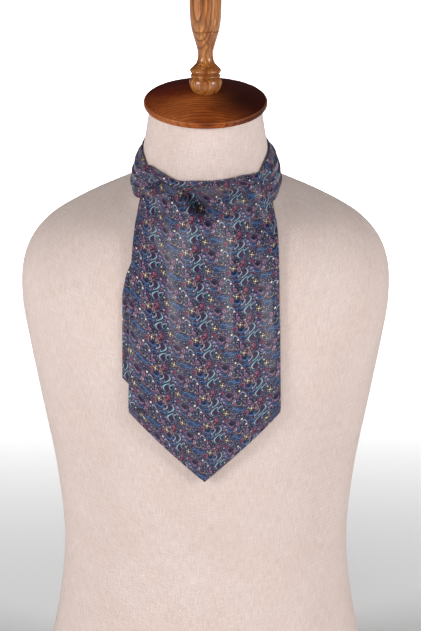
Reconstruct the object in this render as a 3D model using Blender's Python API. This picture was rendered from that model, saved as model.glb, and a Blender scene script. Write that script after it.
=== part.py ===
"""A silk cravat worn round the neck of a limbless dress form.

Metres, +Z up, the front of the form faces -Y. The origin is the middle of the
form's flat underside. Tables hold millimetres and are scaled when a mesh is made.
"""

import math

import bpy
from mathutils import Vector
from mathutils.bvhtree import BVHTree

MM = 0.001

# The form's neck is a cone that leans forward; distances along it run down from its top.
NECK_TOP_Y = -7.2
NECK_TOP_Z = 630.4
NECK_TOP_RADIUS = 56.4
NECK_FLARE = 0.146
NECK_LEAN = math.radians(12.6)
NECK_STEPS = (0.0, 20.0, 40.0, 58.0)

# The torso below the neck, a row for each ring.
FORM_COLUMNS = ("side_z", "front_z", "back_z", "half_width", "front_y", "back_y", "square")
FORM_ROWS = (
    (546, 534, 571, 68.6, -59.6, 75, 2.00),
    (538, 521, 566, 78, -64, 80, 2.02),
    (531, 508, 558, 101, -72, 88, 2.06),
    (519, 487, 540, 137, -85, 98, 2.12),
    (502, 460, 514, 167, -97, 105, 2.20),
    (476, 425, 472, 184, -108, 110, 2.28),
    (438, 385, 427, 187, -114, 113, 2.32),
    (390, 345, 377, 179, -117, 112, 2.32),
    (330, 300, 315, 167, -114, 106, 2.30),
    (260, 245, 250, 153, -107, 98, 2.26),
    (185, 180, 182, 145, -101, 92, 2.24),
    (120, 118, 118, 150, -104, 98, 2.26),
    (58, 58, 58, 162, -110, 110, 2.28),
    (16, 16, 16, 169, -113, 116, 2.30),
    (4, 4, 4, 168, -112, 115, 2.30),
    (0, 0, 0, 165, -109, 112, 2.30),
)
FORM_SIDES = 44
FORM_STEPS = 2

# The turned wooden cap on the neck: radius and height above the neck's top.
CAP_GAP = 0.3
CAP_PROFILE = (
    (59.2, 0.0), (61.7, 0.9), (62.6, 3.0), (61.7, 5.2), (59.4, 6.2),
    (51.0, 9.2), (41.0, 12.1), (30.0, 14.5), (16.5, 16.4),
)
CAP_SIDES = 48

# The turned finial: radius and height above its foot.
FINIAL_GAP = 0.3
FINIAL_PROFILE = (
    (13.3, 0.0), (15.6, 3.6), (16.6, 8.0), (15.9, 11.8), (14.0, 14.2), (14.9, 15.6),
    (14.8, 16.8), (12.8, 18.4), (14.0, 19.6), (15.7, 21.6), (15.0, 23.4), (12.6, 25.2),
    (9.4, 28.6), (8.1, 32.4), (7.9, 38.0), (8.9, 43.2), (10.8, 50.0), (12.8, 56.4),
    (14.4, 63.0), (15.6, 71.0), (16.2, 82.0), (16.3, 93.0), (15.6, 104.0), (13.6, 114.0),
    (10.2, 121.6), (5.6, 126.4),
)
FINIAL_TOP = 128.0
FINIAL_SIDES = 24

# The cravat's top edge lies in a plane that dips to the front.
RING_FRONT_Z = 564.6
RING_FRONT_Y = -58.0
RING_SLOPE = math.tan(math.radians(20.5))

# The pleated neckband. Degrees run from the front, plus to the wearer's left. Drop is how
# far its top lies below the ring, lift how far it is held off the neck, puff its fullness.
BAND_WALL = 1.6
BAND_COLUMNS = ("degrees", "drop", "height", "lift", "puff")
BAND_ROWS = (
    (-180, 0.0, 37, 0.0, 2.4),
    (-150, 0.0, 38, 0.0, 2.6),
    (-120, 0.0, 40, 0.0, 2.8),
    (-92, 0.0, 43, 0.2, 2.6),
    (-74, 0.0, 43, 0.9, 3.0),
    (-62, 1.0, 40, 1.6, 3.0),
    (-50, 4.8, 33, 2.0, 0.4),
    (-20, 4.8, 29, 2.0, 0.1),
    (20, 4.8, 29, 2.0, 0.1),
    (48, 4.6, 33, 2.0, 0.5),
    (60, 1.0, 40, 1.8, 4.6),
    (74, 0.0, 43, 0.9, 5.8),
    (92, 0.0, 43, 0.4, 5.6),
    (120, 0.0, 40, 0.0, 4.2),
    (150, 0.0, 38, 0.0, 2.8),
    (180, 0.0, 37, 0.0, 2.4),
)
BAND_SIDES = 64

# Across the band, from its rolled top to its lower edge: share of height, share of puff, pleat.
PLEAT_COLUMNS = ("down", "stand", "step")
PLEAT_ROWS = (
    (0.00, 0.00, 0.0),
    (0.05, 0.20, 0.3),
    (0.15, 0.48, 0.4),
    (0.26, 0.66, -0.2),
    (0.33, 0.86, 0.9),
    (0.44, 1.00, 0.9),
    (0.56, 1.02, -0.4),
    (0.63, 1.02, 0.9),
    (0.74, 1.00, 0.8),
    (0.88, 0.84, 0.5),
    (1.00, 0.58, 0.0),
)

# The pleats climb to the band's top as they near the throat, so their place down the band
# shrinks between these two directions.
PLEATS_CLIMB_FROM = 82.0
PLEATS_CLIMB_TO = 40.0
PLEATS_CLIMB = 0.34

# The front blade rises between the neck and the band and turns over the band's top:
# distance below the ring, distance off the neck and half its span in degrees.
BLADE_WALL = 1.6
FOLD_COLUMNS = ("drop", "off", "half_span", "turned")
FOLD_ROWS = (
    (18.0, 0.5, 40.0, 5.0),
    (10.0, 0.4, 42.0, 5.0),
    (4.0, 0.5, 43.4, 5.0),
    (1.0, 1.5, 44.0, 5.0),
    (0.0, 3.5, 44.6, 5.0),
    (0.9, 5.6, 45.4, 4.6),
    (4.4, 8.0, 46.6, 4.2),
)

# Then it falls to its point. middle_z and front_y place the middle of a row, depth and
# rise move its two edges back and up, turn is the roundness of the row in degrees.
BLADE_COLUMNS = ("middle_z", "front_y", "half_width", "depth", "rise", "turn", "centre_x")
BLADE_ROWS = (
    (554.2, -70.6, 56.4, 29.0, 7.6, 55, 2.4),
    (546.8, -76.6, 61.6, 38.0, 6.6, 64, 1.2),
    (537.4, -82.2, 66.2, 46.0, 5.4, 70, 0.6),
    (525.0, -86.8, 69.2, 46.0, 3.6, 70, 0.5),
    (510.0, -90.6, 71.2, 34.0, 3.0, 62, 0.5),
    (492.0, -95.6, 72.6, 21.0, 3.0, 50, 0.0),
    (470.0, -104.0, 73.6, 15.0, 2.6, 42, -0.5),
    (445.0, -113.4, 74.4, 13.0, 2.0, 38, -1.0),
    (415.0, -121.4, 75.0, 12.0, 1.4, 36, -1.0),
    (380.0, -125.6, 75.4, 11.5, 0.8, 36, -1.0),
    (345.0, -126.4, 75.6, 11.5, 0.4, 36, -1.0),
)
POINT_STEPS = (0.16, 0.36, 0.58, 0.79, 1.0)

# The blade's largest folds, each a soft line seen from the front. Minus is a trough.
CREASE_COLUMNS = ("from_x", "from_z", "to_x", "to_z", "width", "height")
CREASE_ROWS = (
    (-29, 566, -3, 533, 9.0, -7.0),
    (12, 546, 42, 545, 13.0, 3.6),
    (-58, 552, -40, 545, 6.5, -3.6),
    (-30, 536, -44, 515, 12.0, 2.6),
    (-46, 512, -31, 330, 9.0, -4.0),
    (-9, 515, -4, 300, 17.0, 3.6),
    (27, 520, 37, 350, 10.0, -3.6),
    (54, 505, 57, 375, 9.0, 2.4),
)
BLADE_POINT_Z = 266.0
BLADE_SHOULDER_Z = 338.0
BLADE_ACROSS = 22
BLADE_GAP = 5.6

# The under blade hangs from the band's end behind the front one.
UNDER_WALL = 1.6
UNDER_GAP = 0.9
UNDER_TOP_Z = 521.0
UNDER_SHOULDER_Z = 372.0
UNDER_POINT_Z = 302.0
UNDER_HALF_TOP = 52.0
UNDER_HALF = 71.0
UNDER_CENTRE_X = -11.5
UNDER_ACROSS = 14
UNDER_DOWN = 16


def table(columns, rows):
    return [dict(zip(columns, row)) for row in rows]


def blend(a, b, share):
    return a + (b - a) * share


def smooth_value(before, start, end, after, share):
    """A Catmull-Rom curve from start to end."""
    return 0.5 * (
        2 * start
        + (end - before) * share
        + (2 * before - 5 * start + 4 * end - after) * share ** 2
        + (3 * start - before - 3 * end + after) * share ** 3
    )


def smooth_rows(rows, steps):
    """Rows with steps - 1 more between each two, on a curve through them."""
    last = len(rows) - 1
    result = []
    for i in range(last):
        around = [rows[max(i - 1, 0)], rows[i], rows[i + 1], rows[min(i + 2, last)]]
        for k in range(steps):
            share = k / steps
            result.append({key: smooth_value(*[row[key] for row in around], share) for key in rows[0]})
    result.append(dict(rows[last]))
    return result


def read_at(rows, key, value, want):
    """The value of column want where column key equals value, on a curve through the rows."""
    last = len(rows) - 1
    i = 0
    while i < last - 1 and rows[i + 1][key] < value:
        i += 1
    share = (value - rows[i][key]) / (rows[i + 1][key] - rows[i][key])
    share = min(max(share, 0.0), 1.0)
    around = [rows[max(i - 1, 0)], rows[i], rows[i + 1], rows[min(i + 2, last)]]
    return smooth_value(*[row[want] for row in around], share)


def signed_power(value, power):
    return math.copysign(abs(value) ** power, value)


def make_material(name, color, roughness, sheen=0.0, coat=0.0):
    material = bpy.data.materials.new(name)
    material.use_nodes = True
    shader = material.node_tree.nodes["Principled BSDF"]
    shader.inputs["Base Color"].default_value = (*color, 1.0)
    shader.inputs["Roughness"].default_value = roughness
    shader.inputs["Metallic"].default_value = 0.0
    shader.inputs["Sheen Weight"].default_value = sheen
    shader.inputs["Coat Weight"].default_value = coat
    material.diffuse_color = (*color, 1.0)
    return material


def make_object(name, points, faces, material, crease=50.0):
    """An object from points in millimetres."""
    mesh = bpy.data.meshes.new(name)
    mesh.from_pydata([Vector(p) * MM for p in points], [], faces)
    mesh.materials.append(material)
    mesh.shade_smooth()
    mesh.set_sharp_from_angle(angle=math.radians(crease))
    mesh.validate()
    piece = bpy.data.objects.new(name, mesh)
    bpy.context.scene.collection.objects.link(piece)
    return piece


def bridge_rings(rings):
    """Points and faces of closed rings joined in order, with a flat face on each end."""
    points = [p for ring in rings for p in ring]
    count = len(rings[0])
    faces = []
    for r in range(len(rings) - 1):
        for k in range(count):
            a = r * count + k
            b = r * count + (k + 1) % count
            faces.append((a, b, b + count, a + count))
    faces.append(tuple(reversed(range(count))))
    start = (len(rings) - 1) * count
    faces.append(tuple(range(start, start + count)))
    return points, faces


# The neck's cone

def neck_radius(down):
    return NECK_TOP_RADIUS + NECK_FLARE * down


def neck_point(angle, down, off=0.0):
    """A point on the neck, angle from the front, off millimetres out from it."""
    radius = neck_radius(down) + off
    side = math.sin(angle) * radius
    ahead = math.cos(angle) * radius
    y = NECK_TOP_Y + math.sin(NECK_LEAN) * down - math.cos(NECK_LEAN) * ahead
    z = NECK_TOP_Z - math.cos(NECK_LEAN) * down - math.sin(NECK_LEAN) * ahead
    return Vector((side, y, z))


def ring_distance(angle, drop=0.0):
    """How far down the neck the plane of the cravat's top edge crosses it."""
    low, high = 0.0, 120.0
    for _ in range(30):
        middle = (low + high) / 2
        p = neck_point(angle, middle)
        level = RING_FRONT_Z + (p.y - RING_FRONT_Y) * RING_SLOPE - drop
        if p.z > level:
            low = middle
        else:
            high = middle
    return low


# The dress form

def neck_row(down):
    front = neck_point(0.0, down)
    back = neck_point(math.pi, down)
    return {
        "side_z": NECK_TOP_Z - math.cos(NECK_LEAN) * down,
        "front_z": front.z,
        "back_z": back.z,
        "half_width": neck_radius(down),
        "front_y": front.y,
        "back_y": back.y,
        "square": 2.0,
    }


def form_ring(row, count):
    """A closed ring of the form. Its height follows the slope to the back and the shoulders."""
    middle_y = (row["front_y"] + row["back_y"]) / 2
    half_depth = (row["back_y"] - row["front_y"]) / 2
    middle_z = (row["front_z"] + row["back_z"]) / 2
    tilt = (row["back_z"] - row["front_z"]) / 2
    shoulder = row["side_z"] - middle_z
    points = []
    for k in range(count):
        angle = 2 * math.pi * k / count
        across = signed_power(math.cos(angle), 2 / row["square"])
        along = signed_power(math.sin(angle), 2 / row["square"])
        points.append((
            row["half_width"] * across,
            middle_y + half_depth * along,
            middle_z + tilt * along + shoulder * (1 - along ** 2),
        ))
    return points


def make_form(material):
    rows = [neck_row(down) for down in NECK_STEPS] + table(FORM_COLUMNS, FORM_ROWS)
    upper = smooth_rows(rows[:-2], FORM_STEPS)
    rings = [form_ring(row, FORM_SIDES) for row in upper + rows[-2:]]
    rings.reverse()
    points, faces = bridge_rings(rings)
    return make_object("form_torso", points, faces, material, 60.0)


def turned(profile, sides, place, top=None):
    """Rings of a turned piece; place maps radius, angle and height to a point."""
    rings = []
    for radius, height in profile:
        rings.append([place(radius, 2 * math.pi * k / sides, height) for k in range(sides)])
    points, faces = bridge_rings(rings)
    if top is None:
        return points, faces
    faces.pop()
    points.append(place(0.0, 0.0, top))
    start = (len(rings) - 1) * sides
    for k in range(sides):
        faces.append((start + k, start + (k + 1) % sides, len(points) - 1))
    return points, faces


def cap_place(radius, angle, height):
    """The cap sits square on the neck, so it leans with it."""
    side = math.cos(angle) * radius
    back = math.sin(angle) * radius
    up = height + CAP_GAP
    y = NECK_TOP_Y + math.cos(NECK_LEAN) * back - math.sin(NECK_LEAN) * up
    z = NECK_TOP_Z + math.sin(NECK_LEAN) * back + math.cos(NECK_LEAN) * up
    return (side, y, z)


def make_cap(material):
    points, faces = turned(CAP_PROFILE, CAP_SIDES, cap_place)
    return make_object("form_neck_cap", points, faces, material, 40.0)


def make_finial(material):
    """The finial stands upright, and its foot is cut on the slant of the cap."""
    seat = cap_place(0.0, 0.0, CAP_PROFILE[-1][1] + FINIAL_GAP)
    slant = math.tan(NECK_LEAN)
    level_from = 10.0

    def place(radius, angle, height):
        y = math.sin(angle) * radius
        lean = y * slant * max(0.0, 1 - height / level_from)
        return (math.cos(angle) * radius, seat[1] + y, seat[2] + height + lean)

    points, faces = turned(FINIAL_PROFILE, FINIAL_SIDES, place, FINIAL_TOP)
    return make_object("form_finial", points, faces, material, 60.0)


# Cloth

def grid_normals(grid, closed):
    """Unit normals of a grid of points, rows down and columns across."""
    rows, columns = len(grid), len(grid[0])
    normals = []
    for r in range(rows):
        line = []
        for c in range(columns):
            if closed:
                left, right = grid[r][(c - 1) % columns], grid[r][(c + 1) % columns]
            else:
                left, right = grid[r][max(c - 1, 0)], grid[r][min(c + 1, columns - 1)]
            above, below = grid[max(r - 1, 0)][c], grid[min(r + 1, rows - 1)][c]
            line.append((right - left).cross(above - below).normalized())
        normals.append(line)
    return normals


def make_wall(name, grid, wall, material, closed=False):
    """A cloth wall. The grid is its outer face and the inner face is wall millimetres behind."""
    rows, columns = len(grid), len(grid[0])
    normals = grid_normals(grid, closed)
    points = [p for line in grid for p in line]
    inner = len(points)
    points += [grid[r][c] - normals[r][c] * wall for r in range(rows) for c in range(columns)]
    faces = []
    spans = columns if closed else columns - 1
    for r in range(rows - 1):
        for c in range(spans):
            a = r * columns + c
            b = r * columns + (c + 1) % columns
            faces.append((a, a + columns, b + columns, b))
            faces.append((inner + a, inner + b, inner + b + columns, inner + a + columns))
    last = (rows - 1) * columns
    for c in range(spans):
        b = (c + 1) % columns
        faces.append((c, b, inner + b, inner + c))
        faces.append((last + c, inner + last + c, inner + last + b, last + b))
    if not closed:
        for r in range(rows - 1):
            a, b = r * columns, (r + 1) * columns
            faces.append((a, inner + a, inner + b, b))
            a, b = a + columns - 1, b + columns - 1
            faces.append((a, b, inner + b, inner + a))
    return make_object(name, points, faces, material)


def clear_of(tree, point, gap):
    """The point, moved out where it is nearer to the form than gap."""
    where, normal, _, distance = tree.find_nearest(point * MM)
    side = (point * MM - where).dot(normal)
    if side > 0 and distance / MM >= gap:
        return point
    return where / MM + normal * gap


def band_point(angle, row, pleat, tree):
    """A point on the band's outer face. It slides down the neck and stands off by its puff."""
    turned = abs(math.degrees(angle))
    near = (PLEATS_CLIMB_FROM - turned) / (PLEATS_CLIMB_FROM - PLEATS_CLIMB_TO)
    climb = 1 + PLEATS_CLIMB * min(max(near, 0.0), 1.0)
    down = ring_distance(angle, row["drop"]) + row["height"] * pleat["down"] ** climb
    least = BAND_WALL + 0.5 + row["lift"]
    off = least + row["puff"] * pleat["stand"] + pleat["step"] * min(row["puff"] / 4.0, 1.2)
    return clear_of(tree, neck_point(angle, down, off), least)


def band_row(degrees):
    rows = table(BAND_COLUMNS, BAND_ROWS)
    return {key: read_at(rows, "degrees", degrees, key) for key in BAND_COLUMNS[1:]}


def make_band(material, tree):
    pleats = table(PLEAT_COLUMNS, PLEAT_ROWS)
    grid = []
    for pleat in pleats:
        line = []
        for k in range(BAND_SIDES):
            degrees = -180 + 360 * k / BAND_SIDES
            line.append(band_point(math.radians(degrees), band_row(degrees), pleat, tree))
        grid.append(line)
    return make_wall("cravat_band", grid, BAND_WALL, material, closed=True)


def arc_point(row, across, half=None):
    """A point of a blade's row, across from -1 to 1."""
    turn = math.radians(row["turn"])
    share = (1 - math.cos(across * turn)) / (1 - math.cos(turn))
    x = row["centre_x"] + (half or row["half_width"]) * math.sin(across * turn) / math.sin(turn)
    return Vector((x, row["front_y"] + row["depth"] * share, row["middle_z"] + row["rise"] * share))


def crease_height(creases, x, z):
    """How far the folds push the cloth forward at x and z."""
    total = 0.0
    for fold in creases:
        run_x = fold["to_x"] - fold["from_x"]
        run_z = fold["to_z"] - fold["from_z"]
        length = math.hypot(run_x, run_z)
        along = ((x - fold["from_x"]) * run_x + (z - fold["from_z"]) * run_z) / length
        aside = ((x - fold["from_x"]) * run_z - (z - fold["from_z"]) * run_x) / length
        past = max(0.0, -along, along - length)
        reach = math.exp(-((aside / fold["width"]) ** 2 + (past / (1.3 * fold["width"])) ** 2))
        total += fold["height"] * reach
    return total


def form_front(tree, x, z):
    """How far forward the form's front reaches at x and z."""
    hit, _, _, _ = tree.ray_cast(Vector((x, -400.0, z)) * MM, Vector((0, 1, 0)))
    return hit.y / MM


def make_front_blade(material, tree):
    steps = [-1 + 2 * c / BLADE_ACROSS for c in range(BLADE_ACROSS + 1)]
    grid = []
    for row in table(FOLD_COLUMNS, FOLD_ROWS):
        line = []
        for across in steps:
            angle = math.radians(row["turned"] + row["half_span"] * across)
            down = ring_distance(angle, row["drop"])
            line.append(clear_of(tree, neck_point(angle, down, row["off"]), 0.4))
        grid.append(line)
    rows = table(BLADE_COLUMNS, BLADE_ROWS)
    grid += [[arc_point(row, across) for across in steps] for row in rows]
    last = rows[-1]
    for drop in POINT_STEPS:
        line = []
        for across in steps:
            p = arc_point(last, across)
            floor_z = blend(BLADE_POINT_Z, BLADE_SHOULDER_Z, abs(across))
            p.z = blend(last["middle_z"], floor_z, drop)
            front = form_front(tree, p.x, p.z) - BLADE_GAP - 1.0
            line.append(Vector((p.x, blend(p.y, front, min(drop * 1.2, 1.0)), p.z)))
        grid.append(line)
    creases = table(CREASE_COLUMNS, CREASE_ROWS)
    for r, line in enumerate(grid[len(FOLD_ROWS):]):
        settled = min((r + 0.4) / 2.0, 1.0)
        for c, p in enumerate(line):
            p.y -= crease_height(creases, p.x, p.z) * settled
            if r > 2:
                line[c] = clear_of(tree, p, BLADE_GAP)
    return make_wall("cravat_front_blade", grid, BLADE_WALL, material)


def make_under_blade(material, tree):
    grid = []
    for r in range(UNDER_DOWN + 1):
        line = []
        down = r / UNDER_DOWN
        for c in range(UNDER_ACROSS + 1):
            across = -1 + 2 * c / UNDER_ACROSS
            half = blend(UNDER_HALF_TOP, UNDER_HALF, min(down * 2.2, 1.0) ** 0.7)
            x = UNDER_CENTRE_X * min(down * 3.0, 1.0) + half * across
            floor_z = blend(UNDER_POINT_Z, UNDER_SHOULDER_Z, abs(across))
            z = blend(UNDER_TOP_Z, floor_z, down)
            flat = Vector((x, form_front(tree, x, z), z))
            line.append(clear_of(tree, flat, UNDER_GAP + UNDER_WALL))
        grid.append(line)
    return make_wall("cravat_under_blade", grid, UNDER_WALL, material)


def main():
    for piece in list(bpy.data.objects):
        bpy.data.objects.remove(piece)
    linen = make_material("linen", (0.78, 0.67, 0.61), 0.85, sheen=0.2)
    cap_wood = make_material("cap_wood", (0.24, 0.08, 0.03), 0.28, coat=0.5)
    finial_wood = make_material("finial_wood", (0.38, 0.16, 0.07), 0.30, coat=0.5)
    silks = [make_material(name, (0.075, 0.07, 0.115), 0.50, sheen=0.3)
             for name in ("band_silk", "blade_silk", "under_silk")]

    form = make_form(linen)
    make_cap(cap_wood)
    make_finial(finial_wood)
    bpy.context.view_layer.update()
    tree = BVHTree.FromObject(form, bpy.context.evaluated_depsgraph_get())
    make_band(silks[0], tree)
    make_front_blade(silks[1], tree)
    make_under_blade(silks[2], tree)


main()
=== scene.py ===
import math

import bpy
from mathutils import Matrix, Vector, noise
from mathutils.bvhtree import BVHTree


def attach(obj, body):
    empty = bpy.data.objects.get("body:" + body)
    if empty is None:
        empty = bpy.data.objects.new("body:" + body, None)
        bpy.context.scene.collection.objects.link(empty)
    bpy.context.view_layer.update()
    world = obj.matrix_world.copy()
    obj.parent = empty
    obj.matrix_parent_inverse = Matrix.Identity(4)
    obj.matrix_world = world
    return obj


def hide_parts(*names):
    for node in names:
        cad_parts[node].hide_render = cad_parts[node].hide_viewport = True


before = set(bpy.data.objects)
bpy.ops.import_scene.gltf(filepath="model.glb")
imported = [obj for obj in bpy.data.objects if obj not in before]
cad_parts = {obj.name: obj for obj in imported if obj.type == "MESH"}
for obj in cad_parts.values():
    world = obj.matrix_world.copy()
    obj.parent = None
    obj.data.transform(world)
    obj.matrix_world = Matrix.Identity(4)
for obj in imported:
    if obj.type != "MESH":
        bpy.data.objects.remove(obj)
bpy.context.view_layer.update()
scene = bpy.context.scene
scene.view_settings.view_transform = "Standard"
mm = 0.001


# rows and curves

def namedRows(columns, rows):
    names = columns.split()
    return [dict(zip(names, row)) for row in rows]


def mix(a, b, share):
    return a + (b - a) * share


def clamp(value, low=0.0, high=1.0):
    return min(max(value, low), high)


def easeBetween(low, high, value):
    share = clamp((value - low) / (high - low))
    return share * share * (3 - 2 * share)


def curvePoint(before, start, end, after, share):
    # Catmull-Rom, for numbers and for vectors
    return 0.5 * (
        2 * start
        + (end - before) * share
        + (2 * before - 5 * start + 4 * end - after) * share ** 2
        + (3 * start - before - 3 * end + after) * share ** 3
    )


def fourAround(items, i):
    last = len(items) - 1
    return items[max(i - 1, 0)], items[i], items[i + 1], items[min(i + 2, last)]


def smoothRows(rows, steps):
    result = []
    for i in range(len(rows) - 1):
        around = fourAround(rows, i)
        for k in range(steps):
            result.append({key: curvePoint(*[row[key] for row in around], k / steps) for key in rows[0]})
    return result + [dict(rows[-1])]


def smoothGrid(grid, steps):
    # more rows between the rows of points, steps[i] of them in gap i
    result = []
    for i in range(len(grid) - 1):
        around = fourAround(grid, i)
        for k in range(steps[i]):
            share = k / steps[i]
            result.append([curvePoint(*[line[c] for line in around], share) for c in range(len(grid[0]))])
    return result + [list(grid[-1])]


def readRows(rows, key, value, want):
    i = 0
    while i < len(rows) - 2 and rows[i + 1][key] < value:
        i += 1
    around = fourAround(rows, i)
    share = clamp((value - around[1][key]) / (around[2][key] - around[1][key]))
    return curvePoint(*[row[want] for row in around], share)


# the form's neck is a leaning cone, and every piece near it is placed on that cone

neck = dict(topY=-7.2, topZ=630.4, topRadius=56.4, flare=0.146, lean=math.radians(12.6))
ring = dict(frontY=-58.0, frontZ=564.6, slope=math.tan(math.radians(20.5)))


def neckPoint(angle, down, off=0.0):
    radius = neck["topRadius"] + neck["flare"] * down + off
    ahead = math.cos(angle) * radius
    y = neck["topY"] + math.sin(neck["lean"]) * down - math.cos(neck["lean"]) * ahead
    z = neck["topZ"] - math.cos(neck["lean"]) * down - math.sin(neck["lean"]) * ahead
    return Vector((math.sin(angle) * radius, y, z))


def ringDistance(angle, drop=0.0):
    # how far down the neck the cravat's top edge lies in this direction
    low, high = 0.0, 120.0
    for _ in range(24):
        middle = (low + high) / 2
        p = neckPoint(angle, middle)
        if p.z > ring["frontZ"] + (p.y - ring["frontY"]) * ring["slope"] - drop:
            low = middle
        else:
            high = middle
    return low


# meshes

def meshPiece(name, points, faces, uvs, material, nodes, slot):
    mesh = bpy.data.meshes.new(name)
    mesh.from_pydata([p * mm for p in points], [], faces)
    if uvs:
        layer = mesh.uv_layers.new(name="cut")
        flat = [value for face in uvs for corner in face for value in corner]
        layer.data.foreach_set("uv", flat)
    mesh.shade_smooth()
    mesh.materials.append(material)
    piece = bpy.data.objects.new(name, mesh)
    scene.collection.objects.link(piece)
    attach(piece, "root")
    if nodes:
        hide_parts(*nodes)
    return piece


def gridNormals(grid, closed, side):
    rows, columns = len(grid), len(grid[0])
    result = []
    for r in range(rows):
        above = grid[(r - 1) % rows] if closed else grid[max(r - 1, 0)]
        below = grid[(r + 1) % rows] if closed else grid[min(r + 1, rows - 1)]
        line = []
        for c in range(columns):
            across = grid[r][min(c + 1, columns - 1)] - grid[r][max(c - 1, 0)]
            line.append(across.cross(above[c] - below[c]).normalized() * side)
        result.append(line)
    return result


def cutLengths(grid, closed):
    # lengths across from the middle column and along from the first row, in millimetres
    rows, columns = len(grid), len(grid[0])
    middle = columns // 2
    across = []
    for line in grid:
        lengths = [0.0] * columns
        for c in range(middle + 1, columns):
            lengths[c] = lengths[c - 1] + (line[c] - line[c - 1]).length
        for c in range(middle - 1, -1, -1):
            lengths[c] = lengths[c + 1] - (line[c] - line[c + 1]).length
        across.append(lengths)
    along = [[0.0] * columns]
    for r in range(1, rows + (1 if closed else 0)):
        here, last = grid[r % rows], grid[r - 1]
        along.append([along[-1][c] + (here[c] - last[c]).length for c in range(columns)])
    if closed:
        across.append(list(across[0]))
    return across, along


def clothShell(name, grid, cloth, closed=False, side=1, plain=None):
    # grid is the outer face in millimetres; the section across it gets soft round edges
    # plain is the same grid before its creases, which the print is measured on
    wall = cloth["wall"]
    rows, columns = len(grid), len(grid[0])
    normals = gridNormals(grid, closed, side)
    across, along = cutLengths(plain or grid, closed)
    edgeTurns = [math.pi * k / 4 for k in (1, 2, 3)]
    sections, cuts = [], []
    for r in range(rows):
        line, out = grid[r], normals[r]
        inner = [line[c] - out[c] * wall for c in range(columns)]
        section = list(line)
        cut = [(across[r][c], along[r][c]) for c in range(columns)]
        for c, nextTo, way in ((columns - 1, columns - 2, 1), (0, 1, -1)):
            outward = (line[c] - line[nextTo]).normalized()
            centre = (line[c] + inner[c]) / 2
            turns = edgeTurns if way == 1 else [math.pi - t for t in edgeTurns]
            for k, turn in enumerate(turns):
                section.append(
                    centre + out[c] * math.cos(turn) * wall / 2 + outward * math.sin(turn) * wall / 2)
                extra = way * (wall * 0.4 * (k + 1) if way == 1 else wall * 0.4 * (3 - k))
                cut.append((across[r][c] + extra, along[r][c]))
            if way == 1:
                section += reversed(inner)
                cut += [(across[r][c] + 0.6, along[r][c]) for c in range(columns - 1, -1, -1)]
        sections.append(section)
        cuts.append(cut)
    if closed:
        shift = along[rows]
        width = len(sections[0])
        order = list(range(columns)) + [columns - 1] * 3 + list(range(columns - 1, -1, -1)) + [0] * 3
        cuts.append([(cuts[0][m][0], shift[order[m]]) for m in range(width)])
    points = [p for section in sections for p in section]
    size = len(sections[0])
    faces, uvs = [], []
    turnBy = math.radians(cloth.get("printTurn", 0.0))
    shiftX, shiftY = cloth.get("printShift", (0.0, 0.0))

    def onPrint(cut):
        x = cut[0] * math.cos(turnBy) - cut[1] * math.sin(turnBy) + shiftX
        y = cut[0] * math.sin(turnBy) + cut[1] * math.cos(turnBy) + shiftY
        return (x * mm, -(y + repeatSkew * x) * mm)

    for r in range(rows if closed else rows - 1):
        nextRow = (r + 1) % rows
        for m in range(size):
            n = (m + 1) % size
            corners = [(r, m), (r + 1, m), (r + 1, n), (r, n)]
            faces.append((r * size + m, nextRow * size + m, nextRow * size + n, r * size + n)[::side])
            uvs.append([onPrint(cuts[i][k]) for i, k in corners][::side])
    if not closed:
        innerAt = 2 * columns + 2
        strips = [(c, c + 1, innerAt - c - 1, innerAt - c) for c in range(columns - 1)]
        strips += [tuple(range(columns - 1, columns + 4)), tuple(range(innerAt, size)) + (0,)]
        for r, way in ((0, 1), (rows - 1, -1)):
            for ids in strips:
                face = tuple(r * size + i for i in ids)
                faces.append(face[::way * side])
                uvs.append([onPrint(cuts[r][i]) for i in ids][::way * side])
    return meshPiece(name, points, faces, uvs, cloth["material"], cloth["nodes"], cloth["slot"])


def treeOf(*objects):
    points, faces = [], []
    for o in objects:
        start = len(points)
        points += [o.matrix_world @ v.co / mm for v in o.data.vertices]
        faces += [tuple(start + i for i in p.vertices) for p in o.data.polygons]
    return BVHTree.FromPolygons(points, faces)


def clearOf(tree, point, gap):
    where, normal, _, distance = tree.find_nearest(point)
    if (point - where).dot(normal) > 0 and distance >= gap:
        return point
    return where + normal * gap


def formFront(tree, x, z):
    hit = tree.ray_cast(Vector((x, -400.0, z)), Vector((0, 1, 0)))[0]
    return hit.y


def foldHeight(folds, x, z):
    # each fold is a soft line on the cloth, a ridge or (minus) a trough
    total = 0.0
    for f in folds:
        runX, runZ = f["toX"] - f["fromX"], f["toZ"] - f["fromZ"]
        length = math.hypot(runX, runZ)
        along = ((x - f["fromX"]) * runX + (z - f["fromZ"]) * runZ) / length
        aside = ((x - f["fromX"]) * runZ - (z - f["fromZ"]) * runX) / length
        past = max(0.0, -along, along - length)
        total += f["height"] * math.exp(-((aside / f["width"]) ** 2 + (past / (f["fade"] * f["width"])) ** 2))
    return total


# node materials

def newMaterial(name):
    material = bpy.data.materials.new(name)
    material.use_nodes = True
    nodes = material.node_tree.nodes
    return material, material.node_tree, nodes["Principled BSDF"]


def addNode(tree, kind, settings=None, inputs=None):
    node = tree.nodes.new(kind)
    for key, value in (settings or {}).items():
        setattr(node, key, value)
    for key, value in (inputs or {}).items():
        socket = node.inputs[key]
        if isinstance(value, bpy.types.NodeSocket):
            tree.links.new(value, socket)
        else:
            socket.default_value = value
    return node


def calc(tree, how, a, b=None, c=None, held=False):
    values = {0: a}
    if b is not None:
        values[1] = b
    if c is not None:
        values[2] = c
    return addNode(tree, "ShaderNodeMath", {"operation": how, "use_clamp": held}, values).outputs[0]


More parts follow.
